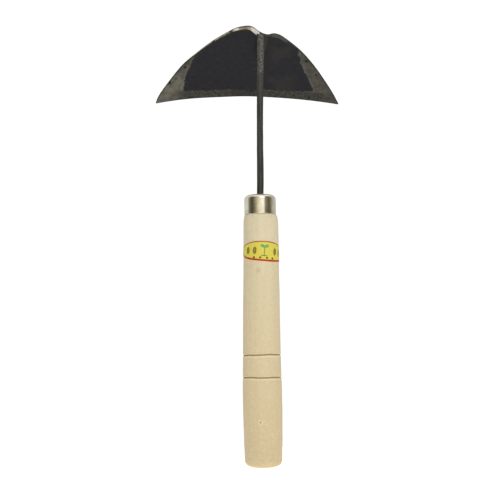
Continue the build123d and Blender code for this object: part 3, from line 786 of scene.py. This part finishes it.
# the driven hole for the tang, from the round mouth down to the blind end
last = len(vh) - NS
aa = np.arange(NS) * 2 * math.pi / NS
hole_rows = [last]
vh = list(map(tuple, vh))
for zz, half, p in [(203.0, None, 2.0), (202.98, 1.722, 14.0), (160.0, 1.305, 14.0), (130.0, 1.013, 14.0), (112.0, 0.845, 14.0), (111.0, 0.80, 14.0)]:
    rr = np.full(NS, 2.85) if half is None else squircle(aa, half, p)
    hole_rows.append(len(vh))
    vh += list(zip(rr * np.cos(aa), rr * np.sin(aa), np.full(NS, zz)))
for a_, b_ in zip(hole_rows[:-1], hole_rows[1:]):
    for j in range(NS):
        j2 = (j + 1) % NS
        fh.append((a_ + j, a_ + j2, b_ + j2, b_ + j))
vh.append((0, 0, 109.0))
for j in range(NS):
    fh.append((hole_rows[-1] + j, hole_rows[-1] + (j + 1) % NS, len(vh) - 1))
vh = np.array(vh)
outside = (np.hypot(vh[:, 0], vh[:, 1]) > 11.9) & (vh[:, 2] < 190.95)
rad = np.hypot(vh[:, 0], vh[:, 1])
ath = np.arctan2(vh[:, 1], vh[:, 0])
groove = np.zeros(len(vh))
lip_v = np.zeros(len(vh))
for k, gz in enumerate(GROOVES):
    zc = gz + 0.16 * np.sin(2 * ath + 1.1 + k * 2) + 0.10 * np.sin(5 * ath + k) + 0.05 * np.sin(11 * ath + 2.0 * k)
    dz = vh[:, 2] - zc
    groove = groove + np.where(rad > 12, np.exp(-(dz / 0.62) ** 2), 0)
    lip_v = lip_v + np.where(rad > 12, np.exp(-((dz + 1.35) / 0.45) ** 2), 0) * 0.5
vh[:, 0] += np.where(outside, wander(vh[:, 2]), 0.0)
handle = build("handle_turned", vh, fh, 32.0, attrs={"groove": groove, "lip": np.clip(lip_v, 0, 1)})

m = Mat("handle_wood_looks")
obj = m.obj()
mm = m.mapping(obj, (1000, 1000, 1000))
x, y, z = m.xyz(mm)
# growth figure: rings round a pith well off the axis, seen as long faint flames
warp = m.noise(m.mapping(mm, (0.035, 0.035, 0.008)), 1.0, 3.0, 0.5)
px = m.math("ADD", x, 38.0)
py = m.math("SUBTRACT", y, 55.0)
dist = m.math("SQRT", m.math("ADD", m.math("MULTIPLY", px, px), m.math("MULTIPLY", py, py)))
dist = m.math("ADD", dist, m.math("MULTIPLY", warp, 14.0))
rings_n = m.math("SINE", m.math("MULTIPLY", dist, 2 * math.pi / 3.1))
rings_n = m.band(rings_n, -0.9, 1.0)
fib = m.noise(m.mapping(mm, (2.2, 2.2, 0.05)), 1.0, 3.0, 0.6)
fib2 = m.noise(m.mapping(mm, (5.5, 5.5, 0.22), loc=(4, 9, 1)), 1.0, 2.0, 0.6)
mott = m.noise(m.mapping(mm, (0.11, 0.11, 0.05), loc=(1, 5, 3)), 1.0, 3.0, 0.6)
spk = m.noise(m.mapping(mm, (0.55, 0.55, 0.30), loc=(11, 2, 7)), 1.0, 3.0, 0.6)
height = m.math("DIVIDE", z, 207.0)
wood_base = m.ramp(height, [
    (0.02, lin((192, 175, 142))), (0.18, lin((201, 185, 150))), (0.34, lin((211, 196, 162))),
    (0.62, lin((223, 210, 178))), (0.80, lin((229, 218, 188))), (0.97, lin((232, 223, 196)))])
col = m.mix(m.band(rings_n, 0.0, 1.0, 0.0, 0.07), wood_base, lin((196, 178, 138)))
col = m.mix(m.band(fib, 0.42, 0.66, 0.0, 0.07), col, lin((192, 172, 130)))
col = m.mix(m.band(fib2, 0.60, 0.72, 0.0, 0.12), col, lin((180, 158, 114)))
col = m.mix(m.band(mott, 0.45, 0.70, 0.0, 0.16), col, lin((226, 198, 164)))
col = m.mix(m.band(mott, 0.50, 0.30, 0.0, 0.18), col, lin((206, 200, 166)))
col = m.mix(m.band(spk, 0.60, 0.74, 0.0, 0.12), col, lin((188, 168, 128)))


def spot(sx, sz, r0, r1, squash=1.0):
    dx = m.math("SUBTRACT", x, sx)
    dz = m.math("MULTIPLY", m.math("SUBTRACT", z, sz), squash)
    d = m.math("SQRT", m.math("ADD", m.math("MULTIPLY", dx, dx), m.math("MULTIPLY", dz, dz)))
    d = m.math("ADD", d, m.math("MULTIPLY", m.math("SUBTRACT", spk, 0.5), 1.2))
    return m.math("MULTIPLY", m.band(d, r0, r1, 1.0, 0.0), m.band(y, -4.0, -8.0))


col = m.mix(m.math("MULTIPLY", spot(-2.0, 33.9, 1.0, 3.4), 0.30), col, lin((234, 212, 168)))
col = m.mix(m.math("MULTIPLY", spot(-2.0, 33.9, 0.25, 1.0), 0.8), col, lin((136, 104, 66)))
col = m.mix(m.math("MULTIPLY", spot(-2.2, 147.6, 0.4, 3.0), 0.34), col, lin((168, 160, 122)))
col = m.mix(m.math("MULTIPLY", spot(-8.5, 151.0, 0.5, 4.0, 1.4), 0.20), col, lin((186, 178, 138)))
col = m.mix(m.math("MULTIPLY", spot(6.5, 121.0, 0.3, 1.2), 0.30), col, lin((170, 150, 112)))
col = m.mix(m.math("MULTIPLY", spot(-6.2, 12.0, 0.3, 3.2, 0.6), 0.14), col, lin((178, 150, 102)))
ga = m.attr("groove").outputs["Fac"]
fleck = m.noise(m.mapping(mm, (0.42, 0.42, 0.34), loc=(3, 7, 2)), 1.0, 3.0, 0.6)
col = m.mix(m.band(fleck, 0.52, 0.66, 0.0, 0.16), col, lin((232, 204, 170)))
col = m.mix(m.band(fleck, 0.48, 0.34, 0.0, 0.16), col, lin((196, 190, 148)))
speck = m.noise(m.mapping(mm, (0.95, 0.95, 0.75), loc=(6, 1, 9)), 1.0, 3.0, 0.65)
col = m.mix(m.band(speck, 0.50, 0.68, 0.0, 0.22), col, lin((198, 176, 134)))
col = m.mix(m.band(speck, 0.50, 0.32, 0.0, 0.22), col, lin((240, 226, 192)))
col = m.mix(m.band(ga, 0.25, 0.98, 0.0, 0.68), col, lin((122, 98, 58)))
col = m.mix(m.attr("lip").outputs["Fac"], col, lin((246, 226, 188)))
# end grain and handling dirt at the butt
endg = m.band(z, 0.35, 0.02)
col = m.mix(m.math("MULTIPLY", endg, 0.55), col, m.mix(rings_n, lin((176, 148, 100)), lin((206, 182, 136))))
dirt = m.math("MULTIPLY", m.band(z, 9.0, 1.0), m.band(mott, 0.3, 0.7, 0.15, 0.4))
col = m.mix(dirt, col, lin((186, 158, 112)))
rough = m.band(fib, 0.3, 0.7, 0.46, 0.60)
h = m.math("ADD", m.math("MULTIPLY", fib, 0.6), m.math("MULTIPLY", fib2, 0.5))
h = m.math("ADD", h, m.math("MULTIPLY", m.noise(m.mapping(mm, (0.02, 0.02, 1.9)), 1.0, 2.0, 0.5), 0.35))
nrm = m.bump(h, 0.30, 0.00010)
m.set(Base_Color=col, Roughness=rough, Normal=nrm, Specular_IOR_Level=0.35)
handle.data.materials.append(m.m)
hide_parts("handle")
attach(handle, "root")

# ------------------------------------------------------------------ ferrule
R, T, Z0, Z1, E, HR = 12.1, 0.9, 190.9, 206.3, 3.6, 3.0
ro = []
ro += [(R - T + 0.22, Z0), (R - 0.24, Z0), (R - 0.10, Z0 + 0.05), (R - 0.01, Z0 + 0.20), (R, Z0 + 0.4)]
ro += [(R - 0.015, Z0 + 0.7), (R - 0.02, Z0 + 1.2)]
ro += [(R, zz) for zz in np.linspace(Z0 + 2.0, Z1 - E, 24)]
ro += [(R - E + E * math.cos(t), Z1 - E + E * math.sin(t)) for t in np.linspace(0, math.pi / 2, 18)[1:]]
ro += [(7.0, Z1 - 0.01), (5.4, Z1 - 0.02), (4.2, Z1 - 0.05), (3.5, Z1 - 0.10), (3.2, Z1 - 0.16), (HR, Z1 - 0.34), (HR, Z1 - T)]
ri_, ei = R - T, E - T
ro += [(4.0, Z1 - T), (6.5, Z1 - T), (ri_ - ei, Z1 - T)]
ro += [(ri_ - ei + ei * math.cos(t), Z1 - T - ei + ei * math.sin(t)) for t in np.linspace(math.pi / 2, 0, 10)[1:]]
ro += [(ri_, zz) for zz in np.linspace(Z1 - E - 1, Z0 + 0.22, 8)]
ro = np.array(ro)
NF = 160
af = np.arange(NF) * 2 * math.pi / NF
vf = []
for r, zz in ro:
    wavy = 0.0
    if r > 9.4:
        tz = (zz - Z0) / 15.0
        wavy = 0.020 * np.sin(3 * af + 0.6 + 0.5 * tz) + 0.012 * np.sin(7 * af + 1.7 + 1.2 * tz) + 0.008 * np.sin(13 * af + 3 * tz)
        wavy = wavy - 0.02
        if r < 11.3:
            wavy = np.minimum(wavy, 0) * 0 + 0.0
    rr = r + wavy
    zz_ = np.full(NF, zz)
    if zz < Z0 + 0.3:
        zz_ = zz_ + 0.05 * np.sin(4 * af + 1.0) + 0.04 * np.sin(9 * af) + 0.09
    vf += list(zip(rr * np.cos(af), rr * np.sin(af), zz_))
nrow = len(ro)
ff = []
for k in range(nrow):
    k2 = (k + 1) % nrow
    for j in range(NF):
        j2 = (j + 1) % NF
        ff.append((k * NF + j, k * NF + j2, k2 * NF + j2, k2 * NF + j))
ferrule = build("ferrule_cap", np.array(vf), ff, 48.0)
m = Mat("ferrule_nickel_looks")
obj = m.obj()
mm = m.mapping(obj, (1000, 1000, 1000))
x, y, z = m.xyz(mm)
th = m.math("ARCTAN2", y, x)
cyl = m.comb(m.math("MULTIPLY", th, 11.5), z, 0.0)
n1 = m.noise(m.mapping(mm, (0.25, 0.25, 0.25)), 1.0, 3.0, 0.6)
n2 = m.noise(m.mapping(mm, (0.9, 0.9, 3.2)), 1.0, 3.0, 0.6)
scr = m.noise(m.mapping(mm, (0.35, 0.35, 9.0), rot=(0.1, 0.05, 0)), 1.0, 2.0, 0.7)
spots = m.band(m.noise(m.mapping(mm, (0.9, 0.9, 0.9), loc=(3, 3, 3)), 1.0, 3.0, 0.7), 0.66, 0.76)
low = m.band(z, 196.5, 192.0)
col = m.mix(m.band(n1, 0.35, 0.65), lin((226, 220, 202)), lin((238, 234, 220)))
col = m.mix(m.math("MULTIPLY", spots, 0.45), col, lin((150, 136, 110)))
col = m.mix(m.math("MULTIPLY", low, m.band(n2, 0.48, 0.66, 0, 0.6)), col, lin((150, 132, 104)))
rough = m.math("ADD", m.band(scr, 0.5, 0.75, 0.10, 0.26), m.math("MULTIPLY", spots, 0.12))
rough = m.math("ADD", rough, m.band(z, 205.2, 206.2, 0.0, 0.30))
nrm = m.bump(m.math("ADD", scr, m.math("MULTIPLY", n2, 0.4)), 0.06, 0.00005)
m.set(Base_Color=col, Roughness=rough, Normal=nrm, Metallic=1.0)
ferrule.data.materials.append(m.m)
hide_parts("ferrule")
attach(ferrule, "root")

# -------------------------------------------------------------------- label
LA_, LB_, LZ, LT, TURN, TILT = 24.4, 7.85, 162.2, 0.15, math.radians(14.0), math.radians(-3.9)


def seat_r(z_):
    return 13.62 - 0.24 * (z_ - 146.0) / 34.0


def label_pt(s, t, off):
    s1 = s * math.cos(TILT) - t * math.sin(TILT)
    z_ = LZ - 0.15 + s * math.sin(TILT) + t * 1.02 * math.cos(TILT) - 0.42 * np.minimum(np.abs(s) / 16.0, 1.15) ** 2
    a = -math.pi / 2 + TURN + s1 / seat_r(LZ)
    r = seat_r(z_) + off
    return np.stack([r * np.cos(a) + wander(z_), r * np.sin(a), z_], -1)


NLS, NLT = 300, 84
k = np.linspace(-1, 1, NLS)
ss = LA_ * np.sin(k * math.pi / 2 * 0.992)
tt = np.linspace(-1, 1, NLT)
SS = np.repeat(ss[:, None], NLT, 1)
TT = (LB_ * np.sqrt(np.clip(1 - (ss / LA_) ** 2, 0, 1)))[:, None] * tt[None, :]
e_norm = np.sqrt((SS / LA_) ** 2 + (TT / LB_) ** 2)
lift = 0.03 * fnoise(SS / 9.0, TT / 5.0, 0, 13, 2)
P1 = label_pt(SS, TT, 0.015 + LT - 0.03 + lift).reshape(-1, 3)
P0 = label_pt(SS, TT, 0.02).reshape(-1, 3)
nl = NLS * NLT
faces = grid_faces(NLS, NLT, 0, flip=False) + grid_faces(NLS, NLT, nl, flip=True)
bd = [(i, 0) for i in range(NLS)] + [(NLS - 1, j) for j in range(1, NLT)] + [(i, NLT - 1) for i in range(NLS - 2, -1, -1)] + [(0, j) for j in range(NLT - 2, 0, -1)]
bd = [i * NLT + j for i, j in bd]
for q in range(len(bd)):
    a, b = bd[q], bd[(q + 1) % len(bd)]
    faces.append((b, a, a + nl, b + nl))


def ell(cx, cy, rx, ry, rot_=0.0, soft=0.14):
    c, s = math.cos(rot_), math.sin(rot_)
    dx, dy = SS - cx, TT - cy
    X_, Y_ = (dx * c + dy * s) / rx, (-dx * s + dy * c) / ry
    d = (np.sqrt(X_ ** 2 + Y_ ** 2) - 1) * min(rx, ry)
    return 1 - smooth(-soft, soft, d)


def stroke(x0, y0, x1, y1, hw_, soft=0.14):
    dx, dy = x1 - x0, y1 - y0
    t = np.clip(((SS - x0) * dx + (TT - y0) * dy) / (dx * dx + dy * dy), 0, 1)
    d = np.hypot(SS - x0 - t * dx, TT - y0 - t * dy) - hw_
    return 1 - smooth(-soft, soft, d)


rgb = np.ones((NLS, NLT, 3)) * np.array(lin((226, 214, 88)))


def paint(mask, c):
    global rgb
    c = np.array(lin(c)) if len(np.shape(c)) == 1 else c
    rgb = rgb * (1 - mask[..., None]) + c * mask[..., None]


def lerp_c(c0, c1, t):
    return np.array(lin(c0)) * (1 - t[..., None]) + np.array(lin(c1)) * t[..., None]


# distance in from the oval's edge, in millimetres, near enough for a border
gx, gy = SS / LA_ ** 2, TT / LB_ ** 2
d_in = (1 - e_norm) * e_norm / np.maximum(np.hypot(gx, gy), 1e-6)
low_side = smooth(4.0, -4.0, TT)
bw_ = 0.72 + 0.75 * low_side
paint(smooth(0.45, 0.25, d_in), (250, 222, 190))
edge_mask = smooth(0.20, 0.38, d_in) * smooth(bw_ + 0.46, bw_ + 0.18, d_in)
paint(edge_mask, lerp_c((150, 62, 34), (178, 34, 24), low_side))
# a round-leaved sprout in the middle, single leaves at its sides and a row of seeds
G1, G2, DK = (100, 176, 92), (92, 140, 84), (88, 78, 16)
cx = -0.9
paint(stroke(cx, -3.2, cx, 3.2, 0.34), G2)
paint(ell(cx - 1.45, 3.75, 1.85, 1.15, -0.35), G1)
paint(ell(cx + 1.45, 3.75, 1.85, 1.15, 0.35), G1)
paint(ell(cx, -3.35, 2.5, 0.42), (128, 116, 44))
for cx_ in (-14.3, -8.4, 8.1, 13.6):
    paint(ell(cx_, 0.3, 1.45, 2.75, 0.0) * 0.9, DK)
    paint(ell(cx_, 0.3, 0.16, 2.0, 0.0) * 0.75, (222, 206, 96))
for cx_ in (-8.7, -3.8, 1.3, 5.9):
    paint(ell(cx_, -4.85, 0.85, 0.72), (34, 30, 8))
colv = np.concatenate([rgb.reshape(-1, 3), np.ones((nl, 3)) * np.array(lin((236, 232, 222)))])
label = build("label_paper", np.concatenate([P1, P0]), faces, 50.0, colors={"print": colv})
m = Mat("label_paper_looks")
obj = m.obj()
mm = m.mapping(obj, (1000, 1000, 1000))
pr = m.attr("print").outputs["Color"]
n1 = m.noise(m.mapping(mm, (0.8, 0.8, 0.8)), 1.0, 3.0, 0.6)
n2 = m.noise(m.mapping(mm, (3.5, 3.5, 3.5)), 1.0, 3.0, 0.6)
col = m.mix(m.band(n1, 0.45, 0.75, 0.0, 0.16), pr, lin((250, 236, 150)))
col = m.mix(m.band(n1, 0.50, 0.25, 0.0, 0.16), col, lin((196, 168, 60)))
col = m.mix(m.band(n2, 0.60, 0.80, 0.0, 0.14), col, lin((120, 96, 40)))
m.set(Base_Color=col, Roughness=m.band(n1, 0.3, 0.7, 0.42, 0.55), Normal=m.bump(m.math("ADD", n1, m.math("MULTIPLY", n2, 0.4)), 0.25, 0.00005), Specular_IOR_Level=0.4)
label.data.materials.append(m.m)
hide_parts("label")
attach(label, "root")

# --------------------------------------------------- floor, world and lights
nf, rings_f = 96, [0.0, 0.08, 0.16, 0.23, 0.29]
vfl, ffl = [(0, 0, -0.02)], []
for r in rings_f[1:]:
    for j in range(nf):
        a = 2 * math.pi * j / nf
        vfl.append((r * 1000 * math.cos(a), r * 1000 * math.sin(a), -0.02))
for j in range(nf):
    ffl.append((0, 1 + j, 1 + (j + 1) % nf))
for q in range(len(rings_f) - 2):
    for j in range(nf):
        j2 = (j + 1) % nf
        ffl.append((1 + q * nf + j, 1 + (q + 1) * nf + j, 1 + (q + 1) * nf + j2, 1 + q * nf + j2))
floor = build("floor", np.array(vfl), ffl)
m = Mat("floor_looks")
obj = m.obj()
fn = m.noise(m.mapping(obj, (14, 14, 14)), 1.0, 3.0, 0.5)
m.set(Base_Color=m.mix(fn, (0.80, 0.80, 0.80), (0.84, 0.84, 0.84)), Roughness=0.85, Specular_IOR_Level=0.1,
      Emission_Color=(1.0, 1.0, 1.0), Emission_Strength=0.75)
floor.data.materials.append(m.m)

world = bpy.data.worlds.new("studio")
bpy.context.scene.world = world
world.use_nodes = True
nt = world.node_tree
nt.nodes.clear()
wo = nt.nodes.new("ShaderNodeOutputWorld")
tc = nt.nodes.new("ShaderNodeTexCoord")
sep = nt.nodes.new("ShaderNodeSeparateXYZ")
nt.links.new(tc.outputs["Generated"], sep.inputs[0])


def wmath(op, a, b=None):
    nd = nt.nodes.new("ShaderNodeMath")
    nd.operation = op
    for s, v in zip(nd.inputs, (a, b)):
        if v is None:
            continue
        if isinstance(v, bpy.types.NodeSocket):
            nt.links.new(v, s)
        else:
            s.default_value = v
    return nd.outputs[0]


def wband(v, a, b, c=0.0, d=1.0):
    r = nt.nodes.new("ShaderNodeMapRange")
    r.interpolation_type = "SMOOTHSTEP"
    nt.links.new(v, r.inputs["Value"])
    for kk, vv in (("From Min", a), ("From Max", b), ("To Min", c), ("To Max", d)):
        r.inputs[kk].default_value = vv
    return r.outputs[0]


# azimuth in turns: 0.5 is the side the camera is on, smaller is its left
az = wmath("ARCTAN2", sep.outputs[0], wmath("MULTIPLY", sep.outputs[1], -1.0))
azn = wmath("ADD", wmath("DIVIDE", az, 2 * math.pi), 0.5)
cr = nt.nodes.new("ShaderNodeValToRGB")
nt.links.new(azn, cr.inputs[0])


def azp(deg):
    return 0.5 + deg / 360.0


stops = [
    (0.0, (0.46, 0.46, 0.45)), (azp(-141), (0.70, 0.70, 0.67)), (azp(-108), (0.72, 0.72, 0.67)), (azp(-95), (0.46, 0.455, 0.40)), (azp(-84), (0.20, 0.195, 0.15)),
    (azp(-68), (0.08, 0.075, 0.058)), (azp(-53), (0.12, 0.105, 0.08)), (azp(-37), (0.29, 0.26, 0.19)), (azp(-22), (0.54, 0.49, 0.34)), (azp(-8), (0.92, 0.86, 0.68)),
    (azp(6), (1.05, 1.00, 0.88)), (azp(20), (1.20, 1.17, 1.06)), (azp(29), (1.05, 1.00, 0.86)), (azp(37), (0.30, 0.29, 0.22)), (azp(53), (0.18, 0.155, 0.115)),
    (azp(69), (0.11, 0.095, 0.07)), (azp(88), (0.24, 0.22, 0.16)), (azp(106), (0.50, 0.49, 0.44)), (azp(141), (0.60, 0.59, 0.56)), (1.0, (0.46, 0.46, 0.45)),
]
els = cr.color_ramp.elements
while len(els) < len(stops):
    els.new(0.5)
for e, (p, c) in zip(els, stops):
    e.position = p
    e.color = (*c, 1.0)
elev = sep.outputs[2]
topm = wband(elev, 0.56, 0.93)
lowm = wband(elev, -0.10, -0.30)
mx = nt.nodes.new("ShaderNodeMix")
mx.data_type = "RGBA"
nt.links.new(topm, mx.inputs[0])
nt.links.new(cr.outputs[0], mx.inputs[6])
mx.inputs[7].default_value = (1.02, 1.01, 0.99, 1)
mx2 = nt.nodes.new("ShaderNodeMix")
mx2.data_type = "RGBA"
nt.links.new(lowm, mx2.inputs[0])
nt.links.new(mx.outputs[2], mx2.inputs[6])
mx2.inputs[7].default_value = (0.66, 0.66, 0.66, 1)
bg_l = nt.nodes.new("ShaderNodeBackground")
nt.links.new(mx2.outputs[2], bg_l.inputs[0])
bg_l.inputs[1].default_value = 1.0
bg_c = nt.nodes.new("ShaderNodeBackground")
bg_c.inputs[0].default_value = (1, 1, 1, 1)
bg_c.inputs[1].default_value = 1.05
lp = nt.nodes.new("ShaderNodeLightPath")
ms = nt.nodes.new("ShaderNodeMixShader")
nt.links.new(lp.outputs["Is Camera Ray"], ms.inputs[0])
nt.links.new(bg_l.outputs[0], ms.inputs[1])
nt.links.new(bg_c.outputs[0], ms.inputs[2])
nt.links.new(ms.outputs[0], wo.inputs[0])


def area(name, at, target, size, power, color=(1, 1, 1)):
    ld = bpy.data.lights.new(name, "AREA")
    ld.shape = "RECTANGLE"
    ld.size, ld.size_y = size
    ld.energy = power
    ld.color = color
    o = bpy.data.objects.new(name, ld)
    o.location = at
    o.rotation_mode = "QUATERNION"
    o.rotation_quaternion = (Vector(target) - Vector(at)).to_track_quat("-Z", "Y")
    o.visible_camera = False
    bpy.context.scene.collection.objects.link(o)
    return o


rear = area("rear_fill", (-0.25, 1.5, 0.95), (0, 0, 0.25), (0.9, 0.9), 3.0, (0.98, 0.99, 1.0))
rear.visible_glossy = False
area("key", (0.50, -1.46, 1.05), (0, 0, 0.2), (0.7, 0.7), 6.5, (1.0, 0.985, 0.955))

vs_ = bpy.context.scene.view_settings
vs_.view_transform = "Standard"
vs_.look = "None"
vs_.exposure = 0.0
vs_.gamma = 1.0
